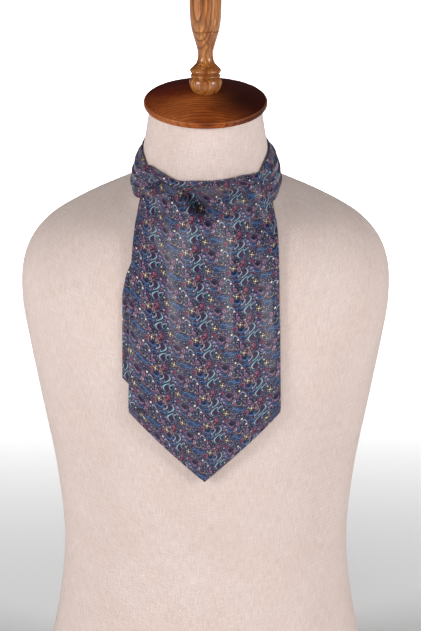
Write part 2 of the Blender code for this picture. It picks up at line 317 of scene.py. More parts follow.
def vectorCalc(tree, how, a, b=None, c=None):
    values = {0: a}
    if b is not None:
        values[1] = b
    if c is not None:
        values[2] = c
    node = addNode(tree, "ShaderNodeVectorMath", {"operation": how}, values)
    return node.outputs["Value" if how in ("DOT_PRODUCT", "LENGTH") else "Vector"]


def mixColor(tree, share, a, b, how="MIX"):
    node = tree.nodes.new("ShaderNodeMix")
    node.data_type = "RGBA"
    node.blend_type = how
    for socket, value in ((node.inputs[0], share), (node.inputs[6], a), (node.inputs[7], b)):
        if isinstance(value, bpy.types.NodeSocket):
            tree.links.new(value, socket)
        elif socket.type == "RGBA":
            socket.default_value = (*value[:3], 1.0)
        else:
            socket.default_value = value
    return node.outputs[2]


def noiseOf(tree, where, scale, detail=2.0, rough=0.5, distortion=0.0):
    return addNode(tree, "ShaderNodeTexNoise", None, {
        "Vector": where, "Scale": scale, "Detail": detail, "Roughness": rough, "Distortion": distortion,
    }).outputs[0]


def finishShader(tree, shader, color, height, bump, looks):
    # bump is its strength and its depth in metres
    tree.links.new(color, shader.inputs["Base Color"])
    strength, depth = bump
    node = addNode(tree, "ShaderNodeBump", None, {"Strength": strength, "Distance": depth, "Height": height})
    tree.links.new(node.outputs[0], shader.inputs["Normal"])
    for name, value in looks.items():
        shader.inputs[name].default_value = value


def rgb(text):
    # sRGB hex to linear
    values = [int(text[i:i + 2], 16) / 255 for i in (0, 2, 4)]
    return tuple(v / 12.92 if v <= 0.04045 else ((v + 0.055) / 1.055) ** 2.4 for v in values)


# the print: one repeat of small paisley, charted in millimetres

repeatSize = (46.0, 28.9)
repeatSkew = 0.191  # each repeat to the right sits a little higher


def wrapped(tree, cloth, centre):
    half = (repeatSize[0] / 2, repeatSize[1] / 2, 1.0)
    spot = vectorCalc(tree, "SUBTRACT", cloth, centre)
    return vectorCalc(tree, "WRAP", spot, half, tuple(-h for h in half))


def dropGroup():
    # distance in millimetres to a bent drop, round at its head and thin at its tail,
    # and the same for its filling, which sits to the inside of the bend
    group = bpy.data.node_groups.new("drop shape", "ShaderNodeTree")
    face = group.interface
    for name in ("Cloth", "Head", "Along", "Side"):
        face.new_socket(name, in_out="INPUT", socket_type="NodeSocketVector")
    for name in ("Bend", "Size", "Swell"):
        face.new_socket(name, in_out="INPUT", socket_type="NodeSocketFloat")
    face.new_socket("Line", in_out="OUTPUT", socket_type="NodeSocketFloat")
    face.new_socket("Filling", in_out="OUTPUT", socket_type="NodeSocketFloat")
    given = group.nodes.new("NodeGroupInput").outputs
    end = group.nodes.new("NodeGroupOutput")
    head, tail, length = 0.5, 0.05, 1.30
    slope = (head - tail) / length
    level = math.sqrt(1 - slope * slope)
    spot = wrapped(group, given["Cloth"], given["Head"])
    y = vectorCalc(group, "DOT_PRODUCT", spot, given["Along"])
    x = vectorCalc(group, "DOT_PRODUCT", spot, given["Side"])
    up = calc(group, "MAXIMUM", y, 0.0)
    bent = calc(group, "MULTIPLY", calc(group, "MULTIPLY", up, up), given["Bend"])
    x = calc(group, "SUBTRACT", x, bent)
    swell = calc(group, "MULTIPLY", x, given["Swell"])
    p = addNode(group, "ShaderNodeCombineXYZ", None, {0: calc(group, "ABSOLUTE", x), 1: y}).outputs[0]
    height = vectorCalc(group, "DOT_PRODUCT", p, (-slope, level, 0.0))
    atHead = calc(group, "SUBTRACT", vectorCalc(group, "LENGTH", p), head)
    toTail = vectorCalc(group, "LENGTH", vectorCalc(group, "SUBTRACT", p, (0.0, length, 0.0)))
    atTail = calc(group, "SUBTRACT", toTail, tail)
    between = calc(group, "SUBTRACT", vectorCalc(group, "DOT_PRODUCT", p, (level, slope, 0.0)), head)
    low = calc(group, "LESS_THAN", height, 0.0)
    high = calc(group, "GREATER_THAN", height, level * length)
    number = {"data_type": "FLOAT"}
    first = addNode(group, "ShaderNodeMix", number, {0: low, 2: between, 3: atHead}).outputs[0]
    both = addNode(group, "ShaderNodeMix", number, {0: high, 2: first, 3: atTail}).outputs[0]
    group.links.new(calc(group, "MULTIPLY", both, given["Size"]), end.inputs[0])
    group.links.new(calc(group, "MULTIPLY", calc(group, "ADD", both, swell), given["Size"]), end.inputs[1])
    return group


def flowerGroup():
    # distances to four round petals and to the heart
    group = bpy.data.node_groups.new("flower shape", "ShaderNodeTree")
    face = group.interface
    for name in ("Cloth", "Head", "Along", "Side"):
        face.new_socket(name, in_out="INPUT", socket_type="NodeSocketVector")
    face.new_socket("Size", in_out="INPUT", socket_type="NodeSocketFloat")
    face.new_socket("Petals", in_out="OUTPUT", socket_type="NodeSocketFloat")
    face.new_socket("Heart", in_out="OUTPUT", socket_type="NodeSocketFloat")
    given = group.nodes.new("NodeGroupInput").outputs
    end = group.nodes.new("NodeGroupOutput")
    spot = wrapped(group, given["Cloth"], given["Head"])
    y = calc(group, "ABSOLUTE", vectorCalc(group, "DOT_PRODUCT", spot, given["Along"]))
    x = calc(group, "ABSOLUTE", vectorCalc(group, "DOT_PRODUCT", spot, given["Side"]))
    far, near = calc(group, "MAXIMUM", x, y), calc(group, "MINIMUM", x, y)
    p = addNode(group, "ShaderNodeCombineXYZ", None, {0: far, 1: near}).outputs[0]
    petal = vectorCalc(group, "LENGTH", vectorCalc(group, "SUBTRACT", p, (0.74, 0.0, 0.0)))
    petal = calc(group, "SUBTRACT", petal, 0.25)
    heart = calc(group, "SUBTRACT", vectorCalc(group, "LENGTH", p), 0.28)
    group.links.new(calc(group, "MULTIPLY", petal, given["Size"]), end.inputs[0])
    group.links.new(calc(group, "MULTIPLY", heart, given["Size"]), end.inputs[1])
    return group


silkPrint = dict(
    ground=rgb("1A1928"),
    inks=dict(
        cyan=rgb("84AAB8"), teal=rgb("2A4856"), red=rgb("7C2A44"), rose=rgb("92687E"), gold=rgb("B09C6A"),
        cream=rgb("ECE4C8"), blue=rgb("203056"), sky=rgb("4E6A98"), plum=rgb("322440"),
        mauve=rgb("7C6A88"), violet=rgb("3C3462"), pale=rgb("989AB4"), slate=rgb("3A4458"),
        ink=rgb("0E0E18"), tan=rgb("847670"), wine=rgb("3E1A30"), steel=rgb("243A56"),
        echoCool=rgb("54648A"), echoWarm=rgb("74566E"),
    ),
    # x, y, size, turn, bend, line, fill, heart
    drops=(
        (-3.9, -5.2, 3.6, 112, 0.16, "pale", "steel", "ink"),
        (4.2, 3.2, 4.0, -58, 0.14, "pale", "teal", "ink"),
        (0.2, 12.6, 2.9, 66, 0.30, "red", "rose", "wine"),
        (-2.2, 16.4, 2.6, -40, 0.36, "red", "wine", "rose"),
        (-13.3, 10.4, 4.8, 132, 0.24, "rose", "plum", "wine"),
        (15.6, 20.4, 6.0, 205, 0.30, "mauve", "plum", "ink"),
        (21.2, 20.9, 4.4, 82, 0.34, "rose", "plum", "mauve"),
        (18.4, 6.4, 4.0, 8, 0.25, "sky", "steel", "blue"),
        (26.4, 7.2, 3.6, 187, 0.25, "sky", "blue", "steel"),
        (36.4, 15.2, 5.0, 176, 0.34, "sky", "blue", "ink"),
        (29.0, 20.6, 3.4, 12, 0.5, "pale", "slate", "ink"),
        (35.3, 2.6, 4.2, 233, 0.4, "mauve", "plum", "rose"),
        (40.6, 11.4, 4.8, -84, -0.2, "tan", "plum", "rose"),
        (25.0, 1.4, 3.8, 160, 0.4, "tan", "slate", "ink"),
        (7.8, 21.4, 3.4, 20, -0.4, "mauve", "violet", "pale"),
        (12.0, -2.4, 3.2, 300, 0.4, "rose", "wine", "ink"),
        (20.6, -2.6, 3.8, 96, -0.3, "rose", "plum", "pale"),
        (17.0, 12.8, 2.6, 150, 0.4, "tan", "slate", "ink"),
        (31.0, 11.6, 2.8, 55, 0.4, "rose", "red", "wine"),
        (37.0, 22.4, 3.4, 350, 0.4, "sky", "blue", "pale"),
        (-10.2, 2.6, 2.8, 330, 0.4, "sky", "blue", "ink"),
        (30.4, 27.2, 2.8, 110, -0.4, "mauve", "slate", "ink"),
        (14.6, 27.0, 3.0, 185, 0.3, "sky", "blue", "steel"),
        (-1.9, 5.6, 5.2, -66, 0.20, "cyan", "plum", "wine"),
        (1.9, -5.7, 5.2, 112, 0.20, "cyan", "plum", "wine"),
    ),
    # x, y, size, turn, petals, heart
    flowers=(
        (10.4, 7.8, 2.7, 20, "gold", "cream"),
        (-10.2, 18.4, 2.7, 14, "gold", "cream"),
        (27.3, 25.6, 2.2, 40, "slate", "pale"),
        (5.6, -9.6, 1.7, 10, "mauve", "pale"),
        (23.6, 13.4, 1.9, 30, "violet", "pale"),
        (-5.9, 11.4, 1.6, 44, "slate", "pale"),
    ),
    # x, y, radius, ink
    dots=(
        (9.8, 15.0, 1.4, "red"), (6.7, 15.8, 0.85, "pale"), (26.2, 17.4, 0.85, "cream"),
        (7.0, -3.8, 0.8, "rose"), (15.2, 8.6, 0.7, "rose"), (-4.6, 14.2, 0.8, "pale"),
        (8.6, 3.2, 0.6, "cream"), (3.6, 20.4, 0.8, "mauve"), (32.8, 7.6, 0.8, "pale"),
        (21.4, 10.4, 0.7, "sky"), (12.8, 16.6, 0.7, "tan"), (25.0, 21.6, 0.7, "rose"),
        (31.6, 24.0, 0.7, "cream"), (2.6, 24.0, 0.8, "teal"), (37.8, 7.2, 0.8, "rose"),
        (-6.6, 8.0, 0.8, "slate"), (9.6, 25.0, 0.8, "cyan"), (18.2, 27.8, 0.6, "gold"),
        (23.4, 26.4, 0.7, "sky"), (34.0, 27.6, 0.7, "pale"), (19.4, 15.8, 0.8, "blue"),
        (-5.8, 1.2, 0.7, "mauve"), (40.0, 26.0, 0.8, "rose"), (39.8, 18.6, 0.7, "pale"),
        (13.8, 12.6, 0.6, "pale"), (-12.4, 5.4, 0.8, "red"), (32.4, 16.4, 0.7, "slate"),
        (28.6, 3.6, 0.6, "cyan"),
    ),
    edge=0.34, lineOut=0.36, lineIn=0.26, heartIn=0.30,
    echoFrom=1.55, echoStep=1.75, rim=0.6, petalRim=0.5, swell=0.36,
    seedScale=0.58, seedSpread=0.9,
)


def chartPrint(tree, cloth):
    # the ground with its small seeds, then each motif over it
    drop, flower = dropGroup(), flowerGroup()
    inks, soft = silkPrint["inks"], silkPrint["edge"]

    def inside(distance, grow=0.0):
        return calc(tree, "MULTIPLY_ADD", distance, -1 / soft, 0.5 + grow / soft, held=True)

    def onRepeat(x, y):
        return (x, y + repeatSkew * x, 0)

    def directions(turn, size):
        turn = math.radians(turn)
        across, down = math.cos(turn) / size, math.sin(turn) / size
        return (across - repeatSkew * down, down, 0), (-down - repeatSkew * across, across, 0)

    seeds = addNode(tree, "ShaderNodeTexVoronoi", None, {
        "Vector": cloth, "Scale": silkPrint["seedScale"], "Randomness": silkPrint["seedSpread"],
    }).outputs
    seedInk = mixColor(tree, noiseOf(tree, seeds["Position"], 3.0, 0.0), inks["plum"], inks["pale"])
    seed = inside(calc(tree, "MULTIPLY_ADD", seeds["Distance"], 1.7, -0.5))
    color = mixColor(tree, seed, silkPrint["ground"], seedInk)
    nearest = None
    for x, y, size, turn, bend, line, fill, heart in silkPrint["drops"]:
        along, side = directions(turn, size)
        shape = addNode(tree, "ShaderNodeGroup", {"node_tree": drop}, {
            "Cloth": cloth, "Head": onRepeat(x, y), "Along": along, "Side": side, "Bend": bend, "Size": size,
            "Swell": -math.copysign(silkPrint["swell"], bend),
        })
        for output, grow, ink in (
            (0, silkPrint["lineOut"] + silkPrint["rim"], "ink"), (0, silkPrint["lineOut"], line),
            (1, -silkPrint["lineIn"], fill), (1, -silkPrint["heartIn"] * size, heart),
        ):
            color = mixColor(tree, inside(shape.outputs[output], grow), color, inks[ink])
        nearest = calc(tree, "MINIMUM", shape.outputs[0], 9.0 if nearest is None else nearest)
    # fine lines echo the drops over the ground between them
    echo = calc(tree, "COSINE", calc(tree, "MULTIPLY_ADD", nearest, math.tau / silkPrint["echoStep"],
                                     -math.tau * silkPrint["echoFrom"] / silkPrint["echoStep"]))
    echo = calc(tree, "MULTIPLY_ADD", echo, 1.5, -0.55, held=True)
    echo = calc(tree, "MULTIPLY", echo, calc(tree, "GREATER_THAN", nearest, silkPrint["echoFrom"] - 0.45))
    tint = noiseOf(tree, cloth, 0.22, 1.0)
    tint = calc(tree, "MULTIPLY_ADD", tint, 4.0, -1.5, held=True)
    echoInk = mixColor(tree, tint, inks["echoCool"], inks["echoWarm"])
    color = mixColor(tree, echo, color, echoInk)
    for x, y, size, turn, petals, heart in silkPrint["flowers"]:
        along, side = directions(turn, size)
        shape = addNode(tree, "ShaderNodeGroup", {"node_tree": flower}, {
            "Cloth": cloth, "Head": onRepeat(x, y), "Along": along, "Side": side, "Size": size,
        })
        color = mixColor(tree, inside(shape.outputs[0], silkPrint["petalRim"]), color, inks["ink"])
        color = mixColor(tree, inside(shape.outputs[0]), color, inks[petals])
        color = mixColor(tree, inside(shape.outputs[1]), color, inks[heart])
    for x, y, radius, ink in silkPrint["dots"]:
        away = vectorCalc(tree, "LENGTH", wrapped(tree, cloth, onRepeat(x, y)))
        color = mixColor(tree, inside(calc(tree, "SUBTRACT", away, radius)), color, inks[ink])
    return color


silkCloth = dict(
    twillPitch=9.0, twillShade=0.03, twillDepth=0.35,
    dyeScale=0.09, dyeRange=0.28, dyeFrom=0.86, fuzzScale=1.7,
    bump=(0.22, 0.00012),
    looks={
        "Roughness": 0.43, "Specular IOR Level": 0.36, "Sheen Weight": 0.07, "Sheen Roughness": 0.35,
        "Sheen Tint": (0.72, 0.74, 0.90, 1.0),
    },
)


def makeSilk():
    material, tree, shader = newMaterial("printed silk")
    cut = addNode(tree, "ShaderNodeUVMap", {"uv_map": "cut"}).outputs[0]
    cloth = vectorCalc(tree, "MULTIPLY", cut, (1000.0, -1000.0, 0.0))
    color = chartPrint(tree, cloth)
    # twill lines and uneven dye
    parts = addNode(tree, "ShaderNodeSeparateXYZ", None, {0: cloth}).outputs
    pitch = silkCloth["twillPitch"]
    diagonal = calc(tree, "MULTIPLY_ADD", parts[0], pitch, calc(tree, "MULTIPLY", parts[1], pitch))
    twill = calc(tree, "SINE", diagonal)
    dye = noiseOf(tree, cloth, silkCloth["dyeScale"], 3.0)
    shade = calc(tree, "MULTIPLY_ADD", dye, silkCloth["dyeRange"], silkCloth["dyeFrom"])
    shade = calc(tree, "MULTIPLY_ADD", twill, silkCloth["twillShade"], shade)
    grey = addNode(tree, "ShaderNodeCombineColor", None, {0: shade, 1: shade, 2: shade}).outputs[0]
    color = mixColor(tree, 1.0, color, grey, "MULTIPLY")
    fuzz = noiseOf(tree, cloth, silkCloth["fuzzScale"], 2.0)
    height = calc(tree, "MULTIPLY_ADD", twill, silkCloth["twillDepth"], fuzz)
    finishShader(tree, shader, color, height, silkCloth["bump"], silkCloth["looks"])
    return material


linenCloth = dict(
    dark=rgb("BCA8A0"), light=rgb("E8DAD4"), aged=rgb("F4E6DE"),
    warpPitch=3.4, weftPitch=3.8, weaveShare=0.42, weaveDepth=0.5, ageScale=0.018,
    bump=(0.35, 0.0004), looks={"Roughness": 0.88, "Specular IOR Level": 0.25, "Sheen Weight": 0.12},
)


def makeLinen():
    material, tree, shader = newMaterial("linen cover")
    cut = addNode(tree, "ShaderNodeUVMap", {"uv_map": "cut"}).outputs[0]
    cloth = vectorCalc(tree, "MULTIPLY", cut, (1000.0, 1000.0, 0.0))
    wander = noiseOf(tree, cloth, 0.16, 2.0)
    parts = addNode(tree, "ShaderNodeSeparateXYZ", None, {0: cloth}).outputs
    warp = calc(tree, "SINE", calc(tree, "MULTIPLY_ADD", parts[0], linenCloth["warpPitch"],
                                   calc(tree, "MULTIPLY", wander, 5.0)))
    weft = calc(tree, "SINE", calc(tree, "MULTIPLY_ADD", parts[1], linenCloth["weftPitch"],
                                   calc(tree, "MULTIPLY", wander, 4.0)))
    weave = calc(tree, "MULTIPLY", warp, weft)
    slubAcross = noiseOf(tree, vectorCalc(tree, "MULTIPLY", cloth, (0.10, 1.25, 0.0)), 1.0, 2.0)
    slubDown = noiseOf(tree, vectorCalc(tree, "MULTIPLY", cloth, (1.15, 0.09, 0.0)), 1.0, 2.0)
    slubs = calc(tree, "ADD", slubAcross, slubDown)
    tone = calc(tree, "MULTIPLY_ADD", slubs, 0.8, -0.3)
    tone = calc(tree, "MULTIPLY_ADD", weave, linenCloth["weaveShare"], tone, held=True)
    color = mixColor(tree, tone, linenCloth["dark"], linenCloth["light"])
    age = calc(tree, "MULTIPLY_ADD", noiseOf(tree, cloth, linenCloth["ageScale"], 3.0), 0.8, -0.2, held=True)
    color = mixColor(tree, age, color, linenCloth["aged"], "MULTIPLY")
    height = calc(tree, "MULTIPLY_ADD", weave, linenCloth["weaveDepth"], slubs)
    finishShader(tree, shader, color, height, linenCloth["bump"], linenCloth["looks"])
    return material


def makeWood(name, wood):
    # grain runs along one axis; rings are cut across it
    material, tree, shader = newMaterial(name)
    spot = addNode(tree, "ShaderNodeTexCoord").outputs["Object"]
    place = vectorCalc(tree, "SUBTRACT", spot, wood["heart"])
    warpNoise = addNode(tree, "ShaderNodeTexNoise", None, {
        "Vector": vectorCalc(tree, "MULTIPLY", place, wood["warpScale"]), "Scale": 1.0, "Detail": 2.0,
    }).outputs[1]
    shifted = vectorCalc(tree, "MULTIPLY_ADD", warpNoise, wood["warp"], place)
    rings = vectorCalc(tree, "LENGTH", vectorCalc(tree, "MULTIPLY", shifted, wood["ringScale"]))
    saw = calc(tree, "FRACT", calc(tree, "MULTIPLY", rings, wood["ringCount"]))
    late = calc(tree, "POWER", saw, 2.6)
    pores = noiseOf(tree, vectorCalc(tree, "MULTIPLY", place, wood["poreScale"]), 1.0, 3.0, 0.6)
    pores = calc(tree, "MULTIPLY_ADD", pores, 3.2, -1.35, held=True)
    patches = noiseOf(tree, vectorCalc(tree, "MULTIPLY", place, wood["patchScale"]), 1.0, 2.0)
    tone = calc(tree, "MULTIPLY_ADD", patches, 1.9, -0.45, held=True)
    color = mixColor(tree, tone, wood["dark"], wood["light"])
    color = mixColor(tree, calc(tree, "MULTIPLY", late, wood["lateShare"]), color, wood["late"])
    color = mixColor(tree, calc(tree, "MULTIPLY", pores, wood["poreShare"]), color, wood["pore"])
    # painted light and shade: soft patches that darken or lighten the wood where shade or light falls on it
    for paintedLightTone, middle, reach, share in wood["paintedLightPatches"]:
        away = vectorCalc(tree, "MULTIPLY_ADD", warpNoise, wood["paintedLightWarp"], spot)
        away = vectorCalc(tree, "SUBTRACT", away, middle)
        away = vectorCalc(tree, "LENGTH", vectorCalc(tree, "MULTIPLY", away, tuple(1 / r for r in reach)))
        paintedLightShare = calc(tree, "MULTIPLY_ADD", away, -share * 1.6, share * 1.6, held=True)
        color = mixColor(tree, paintedLightShare, color, paintedLightTone)
    if wood["paintedRimHighlight"]:
        # a painted highlight: a pale line along the upper edge of the rim, standing in for light caught by
        # its bevel
        paintedRimHighlight = wood["paintedRimHighlight"]
        up = (0.0, -math.sin(neck["lean"]), math.cos(neck["lean"]))
        foot = (0.0, neck["topY"] * mm, neck["topZ"] * mm)
        away = vectorCalc(tree, "SUBTRACT", spot, foot)
        high = vectorCalc(tree, "DOT_PRODUCT", away, up)
        wide = vectorCalc(tree, "LENGTH", vectorCalc(tree, "CROSS_PRODUCT", away, up))
        near = calc(tree, "ABSOLUTE", calc(tree, "SUBTRACT", high, paintedRimHighlight["height"] * mm))
        near = calc(tree, "MULTIPLY_ADD", near, -1 / (paintedRimHighlight["width"] * mm), 1.0, held=True)
        near = calc(tree, "MULTIPLY", near, calc(tree, "GREATER_THAN", wide, paintedRimHighlight["outside"] * mm))
        near = calc(tree, "MULTIPLY", near, calc(tree, "MULTIPLY_ADD", patches, 1.6, -0.1, held=True))
        color = mixColor(tree, calc(tree, "MULTIPLY", near, paintedRimHighlight["share"]), color, paintedRimHighlight["tone"])
    height = calc(tree, "MULTIPLY_ADD", pores, -0.6, late)
    finishShader(tree, shader, color, height, (0.12, 0.0003), {
        "Roughness": wood["roughness"], "Specular IOR Level": wood["gloss"],
        "Coat Weight": wood["coat"], "Coat Roughness": wood["coatRoughness"],
    })
    return material


def makeThread():
    # two plies twisted round each other
    material, tree, shader = newMaterial("thread")
    place = addNode(tree, "ShaderNodeTexCoord").outputs["Object"]
    ply = vectorCalc(tree, "DOT_PRODUCT", place, (5200.0, 5200.0, 3400.0))
    ply = calc(tree, "MULTIPLY_ADD", calc(tree, "SINE", ply), 0.5, 0.5)
    color = mixColor(tree, ply, rgb("343A58"), rgb("8C94B0"))
    finishShader(tree, shader, color, ply, (0.4, 0.0001), {"Roughness": 0.5})
    return material


print("cravat: materials")
silk = makeSilk()
thread = makeThread()
linen = makeLinen()
capWood = makeWood("cap wood", dict(
    heart=(0.05, 0.13, 0.61), warpScale=(9, 22, 22), warp=(0.004, 0.012, 0.012), ringScale=(0.16, 1.0, 1.0),
    ringCount=300.0, poreScale=(60, 900, 900), patchScale=(14, 26, 26),
    dark=rgb("72260C"), light=rgb("BE682C"), late=rgb("4E1606"), pore=rgb("2A0A04"),
    # painted light and shade: colour, middle, reach, strength of each patch; the dark ones at the back, the
    # right and the front right stand in for shade, the pale one at the front left for light
    paintedLightPatches=(
        (rgb("500500"), (0.012, 0.066, 0.66), (0.16, 0.090, 0.1), 1.3),
        (rgb("44100A"), (0.086, 0.005, 0.632), (0.075, 0.085, 0.1), 1.1),
        (rgb("20100A"), (0.050, -0.018, 0.632), (0.054, 0.046, 0.1), 0.50),
        (rgb("C87A44"), (-0.026, -0.046, 0.624), (0.046, 0.030, 0.1), 0.16),
    ),
    paintedLightWarp=(0.024, 0.016, 0.0),
    # painted highlight along the upper edge of the rim
    paintedRimHighlight=dict(tone=rgb("D08A5E"), height=5.9, width=0.8, outside=60.6, share=0.36),
    lateShare=0.85, poreShare=0.7, roughness=0.36, gloss=0.08, coat=0.08, coatRoughness=0.16,
))
finialWood = makeWood("finial wood", dict(
    heart=(0.03, 0.035, 0.70), warpScale=(60, 60, 12), warp=(0.006, 0.006, 0.0), ringScale=(1.0, 1.0, 0.10),
    ringCount=420.0, poreScale=(700, 700, 60), patchScale=(110, 110, 14),
    dark=rgb("803C10"), light=rgb("DA9048"), late=rgb("481C04"), pore=rgb("3E1804"), paintedLightPatches=(), paintedRimHighlight=None,
    lateShare=0.8, poreShare=0.8, roughness=0.38, gloss=0.3, coat=0.6, coatRoughness=0.24,
))

# the dress form

torso = dict(
    neckSteps=(0.0, 20.0, 40.0, 58.0), sides=144, steps=6,
    seams=(0.0, 90.0, 270.0), seamTurn=1.3, seamDepth=0.9,
    columns="sideZ frontZ backZ halfWidth frontY backY square",
    rows=(
        (546, 534, 571, 68.6, -59.6, 75, 2.00),
        (538, 521, 566, 78, -64, 80, 2.02),
        (531, 508, 558, 101, -72, 88, 2.06),
        (519, 487, 540, 137, -85, 98, 2.12),
        (502, 460, 514, 167, -97, 105, 2.20),
        (476, 425, 472, 184, -108, 110, 2.28),
        (438, 385, 427, 187, -114, 113, 2.32),
        (390, 345, 377, 179, -117, 112, 2.32),
        (330, 300, 315, 167, -114, 106, 2.30),
        (260, 245, 250, 153, -107, 98, 2.26),
        (185, 180, 182, 145, -101, 92, 2.24),
        (120, 118, 118, 150, -104, 98, 2.26),
        (58, 58, 58, 162, -110, 110, 2.28),
        (16, 16, 16, 169, -113, 116, 2.30),
        (4, 4, 4, 168, -112, 115, 2.30),
        (0, 0, 0, 165, -109, 112, 2.30),
    ),
)


def neckRow(down):
    front, back = neckPoint(0.0, down), neckPoint(math.pi, down)
    return dict(sideZ=neck["topZ"] - math.cos(neck["lean"]) * down, frontZ=front.z, backZ=back.z,
                halfWidth=neck["topRadius"] + neck["flare"] * down, frontY=front.y, backY=back.y, square=2.0)


def coverAngles():
    # starts at the centre of the back; each seam is a narrow groove
    turns = [(360 * k / torso["sides"], 0.0) for k in range(torso["sides"])]
    for seam in torso["seams"]:
        turns = [t for t in turns if abs((t[0] - seam + 180) % 360 - 180) > torso["seamTurn"] * 1.2]
        groove = ((-1, 0.0), (-0.35, -0.15), (0, torso["seamDepth"]), (0.35, -0.15), (1, 0.0))
        turns += [((seam + side * torso["seamTurn"]) % 360, depth) for side, depth in groove]
    return sorted(turns)


def formRing(row, turns):
    middleY = (row["frontY"] + row["backY"]) / 2
    halfDepth = (row["backY"] - row["frontY"]) / 2
    middleZ, tilt = (row["frontZ"] + row["backZ"]) / 2, (row["backZ"] - row["frontZ"]) / 2
    points = []
    for turn, depth in turns:
        angle = math.radians(turn) + math.pi / 2
        across, along = math.cos(angle), math.sin(angle)
        across = math.copysign(abs(across) ** (2 / row["square"]), across)
        along = math.copysign(abs(along) ** (2 / row["square"]), along)
        inward = 1 - depth / row["halfWidth"]
        points.append(Vector((row["halfWidth"] * across * inward, middleY + halfDepth * along * inward,
                              middleZ + tilt * along + (row["sideZ"] - middleZ) * (1 - along ** 2))))
    return points


def makeTorso():
    rows = [neckRow(down) for down in torso["neckSteps"]] + namedRows(torso["columns"], torso["rows"])
    turns = coverAngles()
    rings = [formRing(row, turns) for row in smoothRows(rows[:-2], torso["steps"]) + rows[-2:]]
    count = len(turns)
    points, faces, uvs = [p for line in rings for p in line], [], []
    around, along = [], [[0.0] * (count + 1)]
    for r, line in enumerate(rings):
        lengths = [0.0]
        for k in range(count):
            lengths.append(lengths[-1] + (line[(k + 1) % count] - line[k]).length)
        around.append([value - lengths[-1] / 2 for value in lengths])
        if r:
            falls = [(line[k % count] - rings[r - 1][k % count]).length for k in range(count + 1)]
            along.append([along[-1][k] + falls[k] for k in range(count + 1)])
    for r in range(len(rings) - 1):
        for k in range(count):
            corners = [(r, k), (r + 1, k), (r + 1, k + 1), (r, k + 1)]
            faces.append(tuple(i * count + j % count for i, j in corners))
            uvs.append([(around[i][j] * mm, along[i][j] * mm) for i, j in corners])
    for r, way in ((0, 1), (len(rings) - 1, -1)):
        faces.append(tuple(r * count + k for k in range(count))[::way])
        uvs.append([(rings[r][k].x * mm, rings[r][k].y * mm) for k in range(count)][::way])
    piece = meshPiece("formTorso", points, faces, uvs, linen, ["form_torso"], "linen")
    piece.data.set_sharp_from_angle(angle=math.radians(50))
    return piece


def turnedPiece(name, profile, sides, place, material, node, slot, top=None):
    turns = [2 * math.pi * k / sides for k in range(sides)]
    rings = [[place(radius, turn, height) for turn in turns] for radius, height in profile]
    points, faces = [p for line in rings for p in line], []
    for r in range(len(rings) - 1):
        for k in range(sides):
            a, b = r * sides + k, r * sides + (k + 1) % sides
            faces.append((a, b, b + sides, a + sides))
    faces.append(tuple(reversed(range(sides))))
    last = (len(rings) - 1) * sides
    if top is None:
        faces.append(tuple(range(last, last + sides)))
    else:
        points.append(place(0.0, 0.0, top))
        faces += [(last + k, last + (k + 1) % sides, len(points) - 1) for k in range(sides)]
    piece = meshPiece(name, points, faces, None, material, [node], slot)
    piece.data.set_sharp_from_angle(angle=math.radians(48))
    return piece


def smoothProfile(profile, steps):
    rows = [Vector((radius, height, 0)) for radius, height in profile]
    result = []
    for i in range(len(rows) - 1):
        around = fourAround(rows, i)
        result += [curvePoint(*around, k / steps) for k in range(steps)]
    return [(p.x, p.y) for p in result + [rows[-1]]]


neckCap = dict(
    gap=0.3, sides=128,
    rim=((59.4, 0.0), (61.2, 0.1), (62.0, 0.5), (62.5, 1.3), (62.6, 2.4), (62.6, 4.5), (62.4, 5.2),
         (61.9, 5.8), (61.1, 6.1), (60.4, 6.0), (59.8, 5.9), (59.2, 6.1), (58.6, 6.5)),
    dome=((58.6, 6.5), (51.0, 9.2), (41.0, 12.1), (30.0, 14.5), (16.5, 16.4)),
)
finial = dict(
    gap=0.3, sides=72, top=128.0, levelAt=10.0,
    profile=((13.3, 0.0), (15.6, 3.4), (16.6, 7.4), (16.1, 10.8), (14.4, 13.2), (14.2, 13.5), (14.9, 14.4),
             (15.0, 15.4), (14.5, 16.2), (13.4, 16.8), (13.6, 17.2), (14.8, 18.2), (15.8, 19.8), (15.4, 21.4),
             (14.0, 23.2), (11.6, 25.4), (9.4, 28.4), (8.1, 32.4),
             (7.9, 38.0), (8.9, 43.2), (10.8, 50.0), (12.8, 56.4), (13.6, 59.8), (13.2, 60.4), (13.2, 60.8),
             (14.0, 61.4), (14.5, 63.4), (15.6, 71.0), (16.2, 82.0), (16.3, 93.0),
             (15.6, 104.0), (13.6, 114.0), (10.2, 121.6), (5.6, 126.4)),
)


def capPlace(radius, angle, height):
    back, up = math.sin(angle) * radius, height + neckCap["gap"]
    return Vector((math.cos(angle) * radius,
                   neck["topY"] + math.cos(neck["lean"]) * back - math.sin(neck["lean"]) * up,
                   neck["topZ"] + math.sin(neck["lean"]) * back + math.cos(neck["lean"]) * up))


def makeFinial():
    seat = capPlace(0.0, 0.0, neckCap["dome"][-1][1] + finial["gap"])
    slant = math.tan(neck["lean"])

    def place(radius, angle, height):
        y = math.sin(angle) * radius
        level = max(0.0, 1 - height / finial["levelAt"])  # its foot follows the slant of the cap
        return Vector((math.cos(angle) * radius, seat.y + y, seat.z + height + y * slant * level))

    return turnedPiece("formFinial", smoothProfile(finial["profile"], 4), finial["sides"], place,
                       finialWood, "form_finial", "finial_wood", finial["top"])


print("cravat: dress form")
formTorso = makeTorso()
capProfile = list(neckCap["rim"]) + smoothProfile(neckCap["dome"], 5)[1:]
turnedPiece("formNeckCap", capProfile, neckCap["sides"], capPlace, capWood, "form_neck_cap", "cap_wood")
makeFinial()
formTree = treeOf(formTorso)

# the neckband

